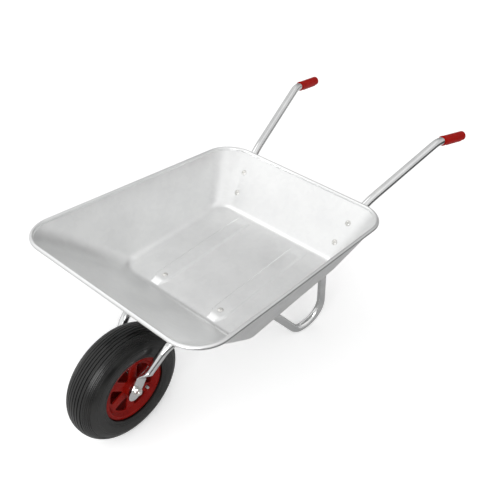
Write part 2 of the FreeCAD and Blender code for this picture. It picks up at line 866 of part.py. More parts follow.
def make_axle(doc, dims):
    """Axle rod, spacer sleeve, and the washers and nuts outside the tabs."""
    rod = doc.addObject("Part::Cylinder", "axle_rod")
    bind(rod, "Radius", dims.axle_radius)
    bind(rod, "Height", dims.axle_half_length * 2.0)
    doc.recompute()
    axle = doc.addObject("Part::Chamfer", "axle")
    axle.Base = rod
    axle.Edges = [(1, 1.0, 1.0), (3, 1.0, 1.0)]
    axle.Placement = wheel_place(dims) * Placement(Vector(0, 0, -dims.axle_half_length.value), Rotation())
    bore, length = dims.axle_radius, dims.sleeve_half_length * 2.0
    sleeve = ring_body(doc, "axle_sleeve", dims.sleeve_radius, bore, length)
    sleeve.Placement = wheel_place(dims, 1, -dims.sleeve_half_length.value)
    outer, thickness = dims.axle_washer_radius, dims.axle_washer
    washer = ring_body(doc, "axle_washer_pattern", outer, bore, thickness)
    nut = nut_body(doc, "axle_nut_pattern", dims.axle_nut_flats, dims.axle_nut, bore)
    outside = dims.tab_side.value + dims.tab_thickness.value / 2
    beyond = outside + thickness.value
    washers = [wheel_place(dims, side, outside) for side in (1, -1)]
    nuts = [wheel_place(dims, side, beyond) for side in (1, -1)]
    return [
        axle,
        sleeve,
        copies(doc, "axle_washers", washer.Shape, washers),
        copies(doc, "axle_nuts", nut.Shape, nuts),
    ]


# ---------------------------------------------------------------- wheel


def mirrored_corners(half):
    """Both halves of an outline that is symmetrical about y = 0, given the upper half."""
    lower = [(x, -y) for x, y in reversed(half)]
    return half + lower


def wheel_centre(dims):
    """Placement of the wheel's pieces, which are modelled about their own Y axis."""
    return Placement(Vector(dims.axle_x.value, 0, dims.wheel_radius.value), Rotation())


def make_tyre(doc, dims):
    """Tyre with a round section, open towards the rim, and grooves round its tread."""
    body = new_body(doc, "tyre")
    section = new_sketch(body, "tyre_section", "XY_Plane")
    width, height = dims.cavity_half_width + 1.0, dims.cavity_height + 1.0
    upper = [
        (dims.tyre_shoulder_radius, dims.tyre_shoulder_width),
        (dims.tyre_side_radius, dims.tyre_half_width),
        (dims.flange_radius + 1.0, dims.tyre_lip_width),
        (dims.flange_radius + 1.0, dims.bead_heel_width),
        (dims.bead_seat_radius, dims.bead_heel_width),
        (dims.bead_seat_radius, dims.bead_toe_width),
        (dims.flange_radius, dims.bead_toe_width),
        (dims.cavity_radius, width),
    ]
    corners = mirrored_corners(upper)
    last = len(corners) - 1
    arcs = {
        0: (dims.tyre_side_curve, -1),
        1: (dims.tyre_heel_curve, -1),
        7: (cap_radius(width, height), 1),
        last - 2: (dims.tyre_heel_curve, -1),
        last - 1: (dims.tyre_side_curve, -1),
        last: (dims.tyre_crown_curve, -1),
    }
    outline(section, corners, arcs)
    revolve(body, "tyre_ring", section)
    doc.recompute()
    tread = new_sketch(body, "tread_lines", "XY_Plane")
    count = int(dims.groove_count.value)
    for number in range(count):
        across = dims.groove_pitch * (number - (count - 1) / 2)
        surface = dims.wheel_radius - across * across / (dims.tyre_crown_curve * 2.0)
        near, far = across - dims.groove_width / 2.0, across + dims.groove_width / 2.0
        bottom, outside = surface - dims.groove_depth, dims.wheel_radius + 2.0
        outline(tread, [(bottom, near), (outside, near), (outside, far), (bottom, far)])
    turn_groove(body, "tread", tread)
    body.Placement = wheel_centre(dims)
    return body


def turn_groove(body, name, profile):
    """Cut a profile all the way round the vertical axis of its sketch."""
    feature = body.newObject("PartDesign::Groove", name)
    feature.Profile = profile
    feature.ReferenceAxis = (profile, ["V_Axis"])
    feature.Angle = 360.0
    return feature


def make_inner_tube(doc, dims):
    """Hollow rubber ring that fills the tyre and lies in the well of the rim."""
    body = new_body(doc, "inner_tube")
    section = new_sketch(body, "tube_section", "XY_Plane")
    for shrink in (dims.tube_gap, dims.tube_gap + dims.tube_wall):
        width, height = dims.cavity_half_width - shrink, dims.cavity_height - shrink
        upper = [
            (dims.cavity_radius, width),
            (dims.flange_radius + 1.0, dims.bead_toe_width - shrink),
            (dims.well_radius + shrink + 1.8, dims.well_half_width - shrink),
        ]
        corners = mirrored_corners(upper)
        outline(section, corners, {len(corners) - 1: (cap_radius(width, height), -1)})
    revolve(body, "tube_ring", section)
    body.Placement = wheel_centre(dims)
    return body


def cap_radius(half_width, height):
    """Radius of the arc that rises by height over a chord of twice the half width."""
    return (half_width * half_width + height * height) / (height * 2.0)


def make_wheel_rim(doc, dims):
    """Moulded rim: barrel with two bead seats, two spoked faces and a long hub."""
    body = new_body(doc, "wheel_rim")
    section = new_sketch(body, "rim_section", "XY_Plane")
    face, flange = dims.spoke_face, dims.flange_width
    upper = [
        (dims.well_radius, dims.well_half_width),
        (dims.bead_seat_radius, dims.bead_toe_width),
        (dims.bead_seat_radius, dims.bead_heel_width),
        (dims.flange_radius, dims.bead_heel_width),
        (dims.flange_radius, flange - 1.5),
        (dims.flange_radius - 1.5, flange),
        (dims.well_radius + 3.0, flange),
        (dims.well_radius - 5.0, face),
        (dims.hub_foot_radius, face),
        (dims.hub_radius, dims.hub_half_length),
        (dims.hub_bore_radius, dims.hub_half_length),
    ]
    outline(section, mirrored_corners(upper))
    inside = face - dims.spoke_plate
    hollow = [
        (dims.well_radius - dims.barrel_wall, inside),
        (dims.hub_radius, inside),
    ]
    outline(section, mirrored_corners(hollow))
    revolve(body, "rim_turned", section)
    doc.recompute()

    turned = Placement(Vector(), Rotation(Vector(0, 0, 1), dims.first_window_turn.value))
    window = new_sketch(body, "window", "XZ_Plane", turned)
    half_pitch = math.radians(180 / dims.spoke_count.value)
    apex = dims.spoke_width / (2.0 * math.sin(half_pitch))
    half_arc = half_pitch - math.asin(dims.spoke_width.value / (2 * dims.window_outer.value))
    end = dims.window_outer * math.cos(half_arc)
    side = dims.window_outer * math.sin(half_arc)
    outline(window, [(apex, as_size(0.0)), (end, -side), (end, side)], {1: (dims.window_outer, -1)})
    pocket = cut_through(body, "window_cut", window)
    pattern = body.newObject("PartDesign::PolarPattern", "windows")
    pattern.Originals = [pocket]
    pattern.Axis = (window, ["N_Axis"])
    pattern.Angle = 360.0
    pattern.Occurrences = int(dims.spoke_count.value)
    body.Tip = pattern
    doc.recompute()
    soften_windows(body, dims, pattern)
    doc.recompute()

    direction = valve_direction(dims)
    axial = new_sketch(body, "valve_window", "XZ_Plane")
    spot = direction * dims.valve_radius.value
    circle_at(axial, spot.x, spot.z, dims.valve_hole_radius)
    one_way(body, "valve_opening", axial, dims.spoke_face + 5.0, False)
    below_well = direction * (dims.well_radius.value - 12)
    radial_place = Placement(below_well, Rotation(Vector(0, 0, 1), direction))
    radial = new_sketch(body, "valve_seat", "XY_Plane", radial_place)
    circle_at(radial, 0.0, 0.0, dims.valve_stem_radius + 0.2)
    one_way(body, "valve_bore", radial, as_size(20.0), True)
    doc.recompute()
    body.Placement = wheel_centre(dims)
    return body


def one_way(body, name, profile, length, along_normal):
    """Cut a sketch to one side: along its normal, or the other way."""
    feature = body.newObject("PartDesign::Pocket", name)
    feature.Profile = profile
    bind(feature, "Length", length)
    feature.Reversed = along_normal
    return feature


def soften_windows(body, dims, form):
    """Round the corners of the windows, which are the straight edges along the wheel's axis."""
    names = []
    for number, edge in enumerate(form.Shape.Edges, start=1):
        if edge.Curve.TypeId != "Part::GeomLine":
            continue
        start, end = (vertex.Point for vertex in edge.Vertexes)
        away = math.hypot(start.x, start.z)
        along_axis = math.hypot(end.x - start.x, end.z - start.z) < 0.01
        if along_axis and dims.hub_foot_radius.value < away < dims.window_outer.value + 0.5:
            names.append(f"Edge{number}")
    feature = body.newObject("PartDesign::Fillet", "window_corners")
    feature.Base = (form, names)
    bind(feature, "Radius", dims.window_corner)


def valve_direction(dims):
    """Direction from the wheel's centre towards the valve."""
    turn = math.radians(dims.valve_turn.value)
    return Vector(math.cos(turn), 0, math.sin(turn))


def make_bushes(doc, dims):
    """Two flanged bushes pressed into the ends of the hub."""
    body = new_body(doc, "bush_pattern")
    section = new_sketch(body, "bush_section", "XZ_Plane")
    bore, outer = dims.bush_bore_radius, dims.hub_bore_radius
    flange, zero = dims.bush_flange, as_size(0.0)
    corners = [
        (bore, -dims.bush_length),
        (outer, -dims.bush_length),
        (outer, zero),
        (dims.bush_flange_radius, zero),
        (dims.bush_flange_radius, flange),
        (bore, flange),
    ]
    outline(section, corners)
    revolve(body, "bush_turned", section)
    doc.recompute()
    ends = [wheel_place(dims, side, dims.hub_half_length.value) for side in (1, -1)]
    return copies(doc, "hub_bushes", body.Shape, ends)


def make_valve(doc, dims):
    """Angled valve: stem with its foot in the inner tube, nut, core and cap."""
    direction, side = valve_direction(dims), Vector(0, 1, 0)
    centre = wheel_centre(dims).Base
    radius, bore = dims.valve_stem_radius.value, dims.valve_stem_radius.value / 2
    well = dims.well_radius.value

    def along(distance, size, length):
        """Cylinder on the valve's radial line, from a distance outwards."""
        return Part.makeCylinder(size, length, centre + direction * distance, direction)

    def across(distance, size, length):
        """Cylinder on the valve's axial end, from a distance to the left of the wheel's middle."""
        foot = centre + direction * dims.valve_radius.value + side * distance
        return Part.makeCylinder(size, length, foot, side)

    elbow = centre + direction * dims.valve_radius.value
    tip = dims.valve_tip.value
    corners = [(centre + direction * (well + 1.5), 0.0), (elbow, 2 * radius), (elbow + side * tip, 0.0)]
    foot = along(well, dims.valve_foot_radius.value, 1.5).cut(along(well, bore, 1.5))
    barrel, nut_radius = well - dims.barrel_wall.value, dims.valve_nut_radius.value
    seat = math.sqrt(barrel ** 2 - nut_radius ** 2) - dims.valve_nut.value
    cap = across(tip - dims.valve_cap.value + 2.5, dims.valve_cap_radius.value, dims.valve_cap.value)
    cap = cap.makeFillet(1.2, [cap.Edges[0]])
    solids = {
        "valve_stem": bent_tube(bent_line(corners), radius, radius - bore).fuse(foot),
        "valve_nut": along(seat, nut_radius, dims.valve_nut.value).cut(
            along(seat, radius, dims.valve_nut.value)
        ),
        "valve_core": across(tip - 12.5, bore, 12.0),
        "valve_cap": cap.cut(across(0.0, radius, tip)),
    }
    return [feature_node(doc, name, solid) for name, solid in solids.items()]


def feature_node(doc, name, shape):
    node = doc.addObject("Part::Feature", name)
    node.Label = name
    node.Shape = shape
    return node


# ---------------------------------------------------------------- grips


def make_grips(doc, dims):
    """Rubber grip with a round closed end and finger ridges, and its mirror image."""
    body = new_body(doc, "grip_form")
    section = new_sketch(body, "grip_section", "XZ_Plane")
    zero, radius, length = as_size(0.0), dims.grip_radius, dims.grip_length
    lip = dims.grip_lip_radius
    corners = [
        (zero, zero),
        (radius, dims.grip_end_wall + 1.0),
        (radius, length - 5.0),
        (lip, length - 4.0),
        (lip, length),
        (dims.frame_radius, length),
        (zero, length),
    ]
    outline(section, corners, {0: (radius * 1.25, -1)})
    revolve(body, "grip_turned", section)
    doc.recompute()
    ridges = []
    for number in range(int(dims.ridge_count.value)):
        ridge = doc.addObject("Part::Ellipsoid", f"ridge_{number + 1}")
        bind(ridge, "Radius1", dims.ridge_radius * 0.75)
        bind(ridge, "Radius2", dims.ridge_radius)
        bind(ridge, "Radius3", dims.ridge_radius * 1.6)
        bind(ridge, "Placement.Base.x", dims.ridge_drop)
        bind(ridge, "Placement.Base.z", dims.grip_end_wall + 12.0 + dims.ridge_pitch * number)
        ridges.append(ridge)
    outside = doc.addObject("Part::MultiFuse", "grip_outside")
    outside.Shapes = [body] + ridges
    bore = doc.addObject("Part::Cylinder", "grip_bore")
    bind(bore, "Radius", dims.frame_radius)
    bind(bore, "Height", dims.grip_length)
    bind(bore, "Placement.Base.z", dims.grip_end_wall)
    left = doc.addObject("Part::Cut", "grip_left")
    left.Label = "grip_left"
    left.Base = outside
    left.Tool = bore
    along = (point(dims, "handle") - point(dims, "grip_end")).normalize()
    down = (Vector(0, 0, -1) - along * along.dot(Vector(0, 0, -1))).normalize()
    tip = point(dims, "grip_end") - along * dims.grip_end_wall.value
    left.Placement = Placement(tip, Rotation(down, along.cross(down), along))
    return [left, mirrored(doc, left, "grip_right")]


# ---------------------------------------------------------------- the whole barrow


def check(doc, nodes):
    """Stop if any object failed or any piece has no sound shape."""
    for thing in doc.Objects:
        if "Invalid" in thing.State or "Error" in thing.State:
            raise RuntimeError(f"{thing.Name} failed: {thing.State}")
    for node in nodes:
        shape = node.Shape
        if shape.isNull() or not shape.isValid() or not shape.Solids:
            raise RuntimeError(f"{node.Label} has no valid shape")
        print(node.Label, len(shape.Solids), round(shape.Volume))


def main():
    doc = FreeCAD.newDocument("wheelbarrow")
    dims = make_sheet(doc)
    nodes = [make_tray(doc, dims), make_rim_wire(doc, dims)]
    nodes += make_tubes(doc, dims)
    nodes += make_grips(doc, dims)
    nodes += make_bolts(doc, dims)
    nodes += make_axle(doc, dims)
    nodes += [make_wheel_rim(doc, dims), make_bushes(doc, dims)]
    nodes += [make_tyre(doc, dims), make_inner_tube(doc, dims)]
    nodes += make_valve(doc, dims)
    doc.recompute()
    check(doc, nodes)
    os.makedirs("parts", exist_ok=True)
    for node in nodes:
        node.Shape.exportStep(f"parts/{node.Label}.step")


main()
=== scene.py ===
import json
import math

import bmesh
import bpy
from mathutils import Matrix, Vector, noise


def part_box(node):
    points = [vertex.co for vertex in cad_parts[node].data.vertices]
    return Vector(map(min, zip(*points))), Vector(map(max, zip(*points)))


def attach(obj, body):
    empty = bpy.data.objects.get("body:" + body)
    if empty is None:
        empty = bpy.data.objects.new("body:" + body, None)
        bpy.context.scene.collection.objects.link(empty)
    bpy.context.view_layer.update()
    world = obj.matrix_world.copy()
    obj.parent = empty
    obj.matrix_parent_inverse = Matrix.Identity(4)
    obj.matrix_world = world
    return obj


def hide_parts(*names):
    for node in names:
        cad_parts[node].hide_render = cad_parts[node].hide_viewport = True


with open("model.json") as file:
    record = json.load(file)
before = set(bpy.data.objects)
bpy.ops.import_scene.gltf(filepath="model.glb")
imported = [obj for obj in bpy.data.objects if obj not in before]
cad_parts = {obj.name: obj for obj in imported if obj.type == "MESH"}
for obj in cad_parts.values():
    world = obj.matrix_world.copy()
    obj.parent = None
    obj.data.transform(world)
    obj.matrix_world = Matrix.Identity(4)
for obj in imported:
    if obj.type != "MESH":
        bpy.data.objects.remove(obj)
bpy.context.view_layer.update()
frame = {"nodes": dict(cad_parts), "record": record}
MM = 0.001


# ---------------------------------------------------------------- materials


class Look:
    """A node material under construction, with short ways to add the usual nodes."""

    def __init__(self, name, color, rough, metal=0.0):
        self.made = bpy.data.materials.new(name)
        self.made.use_nodes = True
        self.nodes, self.links = self.made.node_tree.nodes, self.made.node_tree.links
        self.nodes.clear()
        self.shader = self.nodes.new("ShaderNodeBsdfPrincipled")
        output = self.nodes.new("ShaderNodeOutputMaterial")
        self.links.new(self.shader.outputs["BSDF"], output.inputs["Surface"])
        self.shader.inputs["Base Color"].default_value = (*color, 1)
        self.shader.inputs["Roughness"].default_value = rough
        self.shader.inputs["Metallic"].default_value = metal
        self.place = self.nodes.new("ShaderNodeTexCoord").outputs["Object"]

    def noise(self, scale, detail=3.0):
        node = self.nodes.new("ShaderNodeTexNoise")
        node.inputs["Scale"].default_value = scale
        node.inputs["Detail"].default_value = detail
        self.links.new(self.place, node.inputs["Vector"])
        return node.outputs["Fac"]

    def cells(self, scale):
        """One random grey for each cell, such as the crystals of a zinc coat."""
        node = self.nodes.new("ShaderNodeTexVoronoi")
        node.inputs["Scale"].default_value = scale
        self.links.new(self.place, node.inputs["Vector"])
        grey = self.nodes.new("ShaderNodeSeparateColor")
        self.links.new(node.outputs["Color"], grey.inputs["Color"])
        return grey.outputs["Red"]

    def span(self, fac, low, high, first=0.3, last=0.7):
        """Map a factor from first..last to low..high."""
        node = self.nodes.new("ShaderNodeMapRange")
        node.inputs["From Min"].default_value = first
        node.inputs["From Max"].default_value = last
        node.inputs["To Min"].default_value = low
        node.inputs["To Max"].default_value = high
        self.links.new(fac, node.inputs["Value"])
        return node.outputs["Result"]

    def combine(self, how, one, two):
        node = self.nodes.new("ShaderNodeMath")
        node.operation = how
        self.links.new(one, node.inputs[0])
        self.links.new(two, node.inputs[1])
        return node.outputs[0]

    def tint(self, fac, dark, light):
        """Base colour between two colours."""
        node = self.nodes.new("ShaderNodeMix")
        node.data_type = "RGBA"
        node.inputs["A"].default_value = (*dark, 1)
        node.inputs["B"].default_value = (*light, 1)
        self.links.new(fac, node.inputs["Factor"])
        self.links.new(node.outputs["Result"], self.shader.inputs["Base Color"])

    def rough(self, value):
        self.links.new(value, self.shader.inputs["Roughness"])

    def bump(self, height, strength, distance):
        node = self.nodes.new("ShaderNodeBump")
        node.inputs["Strength"].default_value = strength
        node.inputs["Distance"].default_value = distance
        self.links.new(height, node.inputs["Height"])
        self.links.new(node.outputs["Normal"], self.shader.inputs["Normal"])


def galvanised_sheet():
    """Hot-dip zinc on rolled sheet: faint crystals, soft clouds and a fine grain."""
    look = Look("galvanised_sheet", (0.88, 0.885, 0.88), 0.34, 1.0)
    clouds = look.noise(scale=7.0, detail=2.0)
    crystals = look.cells(scale=75.0)
    cloud_shade = look.span(clouds, low=0.0, high=0.7)
    crystal_shade = look.span(crystals, low=0.0, high=0.3, first=0.0, last=1.0)
    shade = look.combine("ADD", cloud_shade, crystal_shade)
    look.tint(shade, dark=(0.84, 0.845, 0.845), light=(0.93, 0.935, 0.93))
    cloud_rough = look.span(clouds, low=0.3, high=0.38)
    crystal_rough = look.span(crystals, low=-0.02, high=0.02, first=0.0, last=1.0)
    look.rough(look.combine("ADD", cloud_rough, crystal_rough))
    look.bump(look.noise(scale=420.0, detail=2.0), strength=0.06, distance=0.0004)
    return look.made


def steel_tube():
    """Bright zinc-plated tube, a little uneven in shade and gloss."""
    look = Look("steel_tube", (0.78, 0.785, 0.785), 0.15, 1.0)
    clouds = look.noise(scale=16.0, detail=3.0)
    look.tint(look.span(clouds, low=0.0, high=1.0), dark=(0.72, 0.725, 0.73), light=(0.84, 0.845, 0.84))
    look.rough(look.span(look.noise(scale=60.0, detail=4.0), low=0.1, high=0.2))
    look.bump(look.noise(scale=600.0, detail=2.0), strength=0.02, distance=0.0003)
    return look.made


def zinc_plated(name):
    """Small turned and stamped zinc-plated hardware."""
    look = Look(name, (0.77, 0.77, 0.74), 0.28, 1.0)
    stains = look.span(look.noise(scale=90.0), low=0.0, high=1.0)
    look.tint(stains, dark=(0.68, 0.68, 0.66), light=(0.86, 0.85, 0.82))
    look.rough(look.span(look.noise(scale=240.0), low=0.2, high=0.38))
    look.bump(look.noise(scale=900.0, detail=2.0), strength=0.08, distance=0.0003)
    return look.made


def moulded(name, dark, light, rough, grain, shine, metal):
    """Moulded or cast surface with a fine skin."""
    look = Look(name, light, rough, metal)
    look.tint(look.span(look.noise(scale=38.0, detail=4.0), low=0.0, high=1.0), dark, light)
    wear = look.noise(scale=150.0, detail=3.0)
    look.rough(look.span(wear, low=rough - 0.05, high=rough + 0.07))
    look.bump(look.noise(scale=grain, detail=3.0), strength=0.18, distance=0.0004)
    look.shader.inputs["Specular IOR Level"].default_value = shine
    return look.made


def tyre_rubber():
    """Black rubber, a little dusty, with a fine grain."""
    look = Look("tyre_rubber", (0.006, 0.006, 0.006), 0.35)
    dust = look.noise(scale=24.0, detail=5.0)
    dusty = look.span(dust, low=0.0, high=1.0, first=0.35, last=0.75)
    look.tint(dusty, dark=(0.003, 0.003, 0.003), light=(0.01, 0.01, 0.009))
    look.rough(look.span(dust, low=0.28, high=0.42))
    look.bump(look.noise(scale=700.0, detail=3.0), strength=0.22, distance=0.0005)
    look.shader.inputs["Specular IOR Level"].default_value = 0.5
    return look.made


# slot: dark and light colour, roughness, scale of the grain, specular level, metal
MOULDED = {
    "red_rubber": ((0.34, 0.004, 0.002), (0.4, 0.007, 0.003), 0.42, 900.0, 0.06, 0.0),
    "red_plastic": ((0.16, 0.003, 0.002), (0.2, 0.005, 0.002), 0.3, 500.0, 0.1, 0.0),
    "bush_plastic": ((0.03, 0.03, 0.03), (0.05, 0.05, 0.05), 0.45, 500.0, 0.15, 0.0),
    "tube_rubber": ((0.015, 0.015, 0.015), (0.03, 0.03, 0.03), 0.5, 500.0, 0.15, 0.0),
    "brass": ((0.7, 0.5, 0.2), (0.85, 0.62, 0.28), 0.3, 500.0, 0.5, 1.0),
    "cap_plastic": ((0.3, 0.3, 0.29), (0.4, 0.4, 0.39), 0.4, 500.0, 0.5, 0.0),
}
looks = {
    "galvanised_sheet": galvanised_sheet(),
    "steel_wire": zinc_plated("steel_wire"),
    "steel_tube": steel_tube(),
    "zinc_plated": zinc_plated("zinc_plated"),
    "tyre_rubber": tyre_rubber(),
}
for name, values in MOULDED.items():
    looks[name] = moulded(name, *values)
slots = {part["node"]: part["material_slot"] for part in frame["record"]["subparts"]}
for name, node in frame["nodes"].items():
    node.data.materials.clear()
    node.data.materials.append(looks[slots[name]])


# ---------------------------------------------------------------- meshes

# metres: vertices this close are joined
WELD = 0.000001


def piece(name, node, body, vertices, faces, crease):
    """A welded mesh in metres that stands for one CAD node and rides on its body."""
    mesh = bpy.data.meshes.new(name)
    mesh.from_pydata(vertices, [], faces)
    mesh.update()
    form = bmesh.new()
    form.from_mesh(mesh)
    bmesh.ops.remove_doubles(form, verts=form.verts, dist=WELD)
    bmesh.ops.recalc_face_normals(form, faces=form.faces)
    form.to_mesh(mesh)
    form.free()
    mesh.shade_smooth()
    mesh.set_sharp_from_angle(angle=math.radians(crease))
    mesh.materials.append(looks[slots[node]])
    thing = bpy.data.objects.new(name, mesh)
    bpy.context.scene.collection.objects.link(thing)
    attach(thing, body)
    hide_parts(node)
    return thing


def middle(node):
    low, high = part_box(node)
    return (Vector(low) + Vector(high)) / 2


def grid_faces(rows, columns, wrap_rows=False, wrap_columns=False):
    """Quads between rows of vertices that are numbered one row after another."""
    faces = []
    for row in range(rows if wrap_rows else rows - 1):
        below = (row + 1) % rows
        for column in range(columns if wrap_columns else columns - 1):
            beside = (column + 1) % columns
            faces.append((
                row * columns + column,
                row * columns + beside,
                below * columns + beside,
                below * columns + column,
            ))
    return faces


def smooth_step(value):
    value = min(max(value, 0.0), 1.0)
    return value * value * (3 - 2 * value)


# ---------------------------------------------------------------- tray

# millimetres, as in the CAD source; the floor and rim planes slope up towards the front
FLOOR_REAR, FLOOR_TILT = Vector((-116.0, 0.0, 271.5)), math.radians(2.9)
FLOOR_LENGTH, FLOOR_HALF, FLOOR_CORNER, FLOOR_BEND = 430.5, 242.5, 55.0, 34.0
RIM_REAR, RIM_TILT = Vector((-251.0, 0.0, 405.0)), math.radians(8.66)
RIM_LENGTH, RIM_REAR_HALF, RIM_FRONT_HALF, RIM_CORNER = 810.5, 312.5, 330.5, 91.0
WALL_TOP_DROP, WALL_TOP_INSET = 4.4, 3.6
ROLL_RADIUS, SHEET = 6.0, 1.2
RIB_SIDE, RIB_HALF, RIB_NOSE, RIB_HEIGHT, RIB_SLOPE = 112.0, 28.0, 15.0, 5.0, 7.5
RIB_START, RIB_SHOULDER, RIB_TIP = 20.0, 384.0, 426.0
# a rib rises and falls over these lengths, and starts to rise a little before its start
RIB_REAR_FADE, RIB_TIP_FADE, RIB_LEAD = 46.0, 34.0, 4.0

# how finely the sheet is divided: steps of each curve, and lengths of the floor's cells
ARC_STEPS, WALL_STEPS, ROLL_STEPS = 9, 14, 26
ROLL_STEP_TURN = math.radians(12.8)
COARSE_CELL, RIB_END_CELL, RIB_SIDE_CELL = 5.0, 2.0, 1.3
RIB_END_MARGIN, RIB_SIDE_MARGIN = 6.0, 3.0
# the last cell of a side joins the one before it if it is shorter than this share of a coarse cell
SHORTEST_CELL, NO_LENGTH = 0.4, 0.01

# slow dents of the walls and the floor: how far apart and how high, and the calm rows at the edge
WALL_DENTS, WALL_DENT_HEIGHT = 95.0, 1.1
FLOOR_DENTS, FLOOR_DENT_HEIGHT, CALM_ROWS = 70.0, 0.9, 8


class Plane:
    """A plane that rises towards the front, with its own forward, left and up directions."""

    def __init__(self, origin, tilt):
        self.origin = origin
        self.ahead = Vector((math.cos(tilt), 0, math.sin(tilt)))
        self.left = Vector((0, 1, 0))
        self.up = Vector((-math.sin(tilt), 0, math.cos(tilt)))

    def point(self, x, y, z=0.0):
        return self.origin + self.ahead * x + self.left * y + self.up * z

    def turned(self, x, y):
        return self.ahead * x + self.left * y


class Quad:
    """Rounded four-sided outline whose sides and corners match those of another one."""

    def __init__(self, rear, front, rear_half, front_half, corner):
        sharp = [(rear, -rear_half), (front, -front_half), (front, front_half), (rear, rear_half)]
        self.sharp = [Vector(point) for point in sharp]
        self.corner = corner
        self.arcs = [self.arc(index) for index in range(4)]

    def arc(self, index):
        """Centre of the rounded corner, start angle and swept angle."""
        at = self.sharp[index]
        back = (self.sharp[index - 1] - at).normalized()
        ahead = (self.sharp[(index + 1) % 4] - at).normalized()
        half = back.angle(ahead) / 2
        centre = at + (back + ahead).normalized() * (self.corner / math.sin(half))
        start = Vector((back.y, -back.x))
        if start.dot(at - centre) < 0:
            start = -start
        return centre, math.atan2(start.y, start.x), math.pi - 2 * half

    def place(self, kind, index, share):
        """Point and outward direction at a share of a corner ("arc") or of a side ("side")."""
        centre, start, sweep = self.arcs[index]
        if kind == "arc":
            angle = start + sweep * share
            out = Vector((math.cos(angle), math.sin(angle)))
            return centre + out * self.corner, out
        after, after_start, _ = self.arcs[(index + 1) % 4]
        out = Vector((math.cos(after_start), math.sin(after_start)))
        first = centre + out * self.corner
        last = after + out * self.corner
        return first + (last - first) * share, out


def side_shares(length, zones):
    """Shares of a straight side: coarse cells, and finer ones in each zone (low, high, cell)."""
    stops = [0.0]
    while stops[-1] < length - NO_LENGTH:
        at = stops[-1]
        cell = COARSE_CELL
        for low, high, fine in zones:
            if low - COARSE_CELL < at < high:
                cell = fine
        stops.append(min(at + cell, length))
    if len(stops) > 2 and stops[-1] - stops[-2] < SHORTEST_CELL * COARSE_CELL:
        del stops[-2]
    return [stop / length for stop in stops]


def rib_rise(x, y):
    """Height of the floor's two ribs at a point of the floor plane."""
    narrow = min(max((x - RIB_SHOULDER) / (RIB_TIP - RIB_SHOULDER), 0.0), 1.0)
    half = RIB_HALF + (RIB_NOSE - RIB_HALF) * narrow
    inside = half - abs(abs(y) - RIB_SIDE)
    rear_end = smooth_step((x - RIB_START + RIB_LEAD) / RIB_REAR_FADE)
    front_end = smooth_step((RIB_TIP - x) / RIB_TIP_FADE)
    return RIB_HEIGHT * smooth_step(inside / RIB_SLOPE) * rear_end * front_end


def ripple(point, size, height):
    """Slow unevenness of pressed sheet, in millimetres."""
    return noise.noise(point / size) * height


def touch_distance(offset, direction, radius):
    """How far back along a direction an offset from a line has to go to be a radius away."""
    ahead = offset.dot(direction)
    return ahead + math.sqrt(ahead * ahead + radius * radius - offset.dot(offset))


def arc_points(start, corner, end, weight, steps):
    """Points of the arc from start to end whose tangents meet at the corner."""
    points = []
    for step in range(steps + 1):
        t = step / steps
        parts = ((1 - t) ** 2, 2 * t * (1 - t) * weight, t * t)
        points.append((start * parts[0] + corner * parts[1] + end * parts[2]) / sum(parts))
    return points


def tray_ring():
    """Spots round the tray, as Quad.place takes them, and where each of the four sides begins."""
    straight = FLOOR_LENGTH - 2 * FLOOR_CORNER
    nose_start = RIB_SHOULDER - FLOOR_CORNER - RIB_END_MARGIN
    nose_end = RIB_TIP - FLOOR_CORNER + RIB_END_MARGIN
    end_zones = [(nose_start, nose_end, RIB_END_CELL), (0.0, RIB_END_MARGIN, RIB_END_CELL)]
    along = side_shares(straight, end_zones)
    rib_start = RIB_SIDE - RIB_HALF - RIB_SIDE_MARGIN
    rib_end = RIB_SIDE + RIB_HALF + RIB_SIDE_MARGIN
    half = side_shares(FLOOR_HALF - FLOOR_CORNER, [(rib_start, rib_end, RIB_SIDE_CELL)])
    across = [0.5 - share / 2 for share in reversed(half)] + [0.5 + share / 2 for share in half[1:]]

    corner = [step / (2 * ARC_STEPS) for step in range(2 * ARC_STEPS + 1)]
    ring, starts = [], []
    for index in range(4):
        starts.append(len(ring))
        shares = along if index in (0, 2) else across
        if index in (2, 3):
            shares = [1 - share for share in reversed(shares)]
        ring += [("arc", index, share) for share in corner[ARC_STEPS:-1]]
        ring += [("side", index, share) for share in shares]
        after = (index + 1) % 4
        ring += [("arc", after, share) for share in corner[1:ARC_STEPS]]
    return ring, starts


